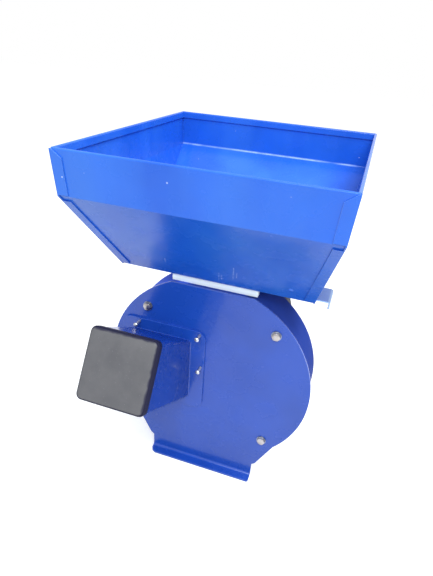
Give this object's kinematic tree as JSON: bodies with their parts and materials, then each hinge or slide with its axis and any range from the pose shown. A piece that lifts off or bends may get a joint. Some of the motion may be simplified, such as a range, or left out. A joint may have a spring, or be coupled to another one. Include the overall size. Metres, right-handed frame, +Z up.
{
  "type": "forage chopper",
  "caption": "Bench-top electric forage and grain chopper: round chamber on folded feet, sheet hopper with slide gate, sloping square chute with a plug, flange motor behind.",
  "frame": {"origin": "on the surface that the feet stand on, under the middle of the box round the whole part", "axes": "+Z up, -Y out of the front cover on the chute's side, +X to the right seen from the front"},
  "size_m": [0.2948, 0.3912, 0.4451],
  "materials": {
    "cover_paint": "glossy powder coat",
    "hopper_paint": "glossy powder coat",
    "zinc_screws": "zinc plated",
    "posts": "turned steel",
    "sieve_steel": "punched sheet",
    "pad_plastic": "satin, white",
    "plug_plastic": "matt, dark grey",
    "gate_steel": "bright sheet",
    "cast_aluminium": "die cast, dark",
    "motor_paint": "satin black",
    "core_steel": "laminated steel",
    "winding": "enamelled copper wire",
    "bearing_steel": "ground steel",
    "shaft_steel": "ground steel",
    "knife_steel": "ground blade steel",
    "beater_steel": "hot rolled steel",
    "fan_plastic": "moulded",
    "box_plastic": "moulded, fine grain",
    "gland_plastic": "moulded",
    "rocker_plastic": "moulded, red",
    "capacitor_can": "drawn can"
  },
  "bodies": {
    "frame": {"front_cover": "cover_paint", "drum_shell": "cover_paint", "back_plate": "cover_paint", "cover_posts": "posts", "sieve_seat": "cover_paint", "sieve": "sieve_steel", "inlet_duct": "cover_paint", "cover_washers": "zinc_screws", "cover_screws": "zinc_screws", "chute_flange": "cover_paint", "chute_tube": "cover_paint", "chute_screws": "zinc_screws", "chute_nuts": "zinc_screws", "inlet_pad": "pad_plastic", "hopper_bracket": "cover_paint", "hopper_main_sheet": "hopper_paint", "hopper_left_side": "hopper_paint", "hopper_right_side": "hopper_paint", "hopper_rivet": "hopper_paint", "gate_guides": "cover_paint", "hopper_screws": "zinc_screws", "hopper_nuts": "zinc_screws", "front_shield": "cast_aluminium", "flange_screws": "zinc_screws", "motor_housing": "motor_paint", "stator_core": "core_steel", "stator_winding": "winding", "rear_shield": "cast_aluminium", "shield_screws": "zinc_screws", "front_bearing": "bearing_steel", "rear_bearing": "bearing_steel", "fan_cover": "motor_paint", "fan_cover_screws": "zinc_screws", "rear_stand": "cover_paint", "stand_bolts": "zinc_screws", "switch_box": "box_plastic", "switch_lid": "box_plastic", "lid_screws": "zinc_screws", "cord_gland": "gland_plastic", "switch_frame": "gland_plastic", "capacitor": "capacitor_can", "capacitor_clip": "posts"},
    "rotor": {"motor_shaft": "shaft_steel", "armature": "core_steel", "cooling_fan": "fan_plastic", "drive_key": "shaft_steel", "front_knife": "knife_steel", "cross_knife": "knife_steel", "beaters": "beater_steel", "spacer_sleeves": "shaft_steel", "lock_washer": "shaft_steel", "lock_nut": "shaft_steel"},
    "gate": {"gate_plate": "gate_steel"},
    "plug": {"chute_plug": "plug_plastic"},
    "rocker": {"switch_rocker": "rocker_plastic", "rocker_pin": "shaft_steel"}
  },
  "joints": [
    {"name": "rotor_spin", "type": "hinge", "parent": "frame", "child": "rotor", "pos_m": [0, 0, 0.1565], "axis": [0, 1, 0], "continuous": true},
    {"name": "gate_slide", "type": "slide", "parent": "frame", "child": "gate", "axis": [1, 0, 0], "range_m": [0, 0.06]},
    {"name": "plug_pull", "type": "slide", "parent": "frame", "child": "plug", "axis": [0, -0.859, 0.512], "range_m": [0, 0.045]},
    {"name": "rocker_tilt", "type": "hinge", "parent": "frame", "child": "rocker", "pos_m": [0, 0.09265, 0.2485], "axis": [0, 0, 1], "range_deg": [0, 22]}
  ]
}
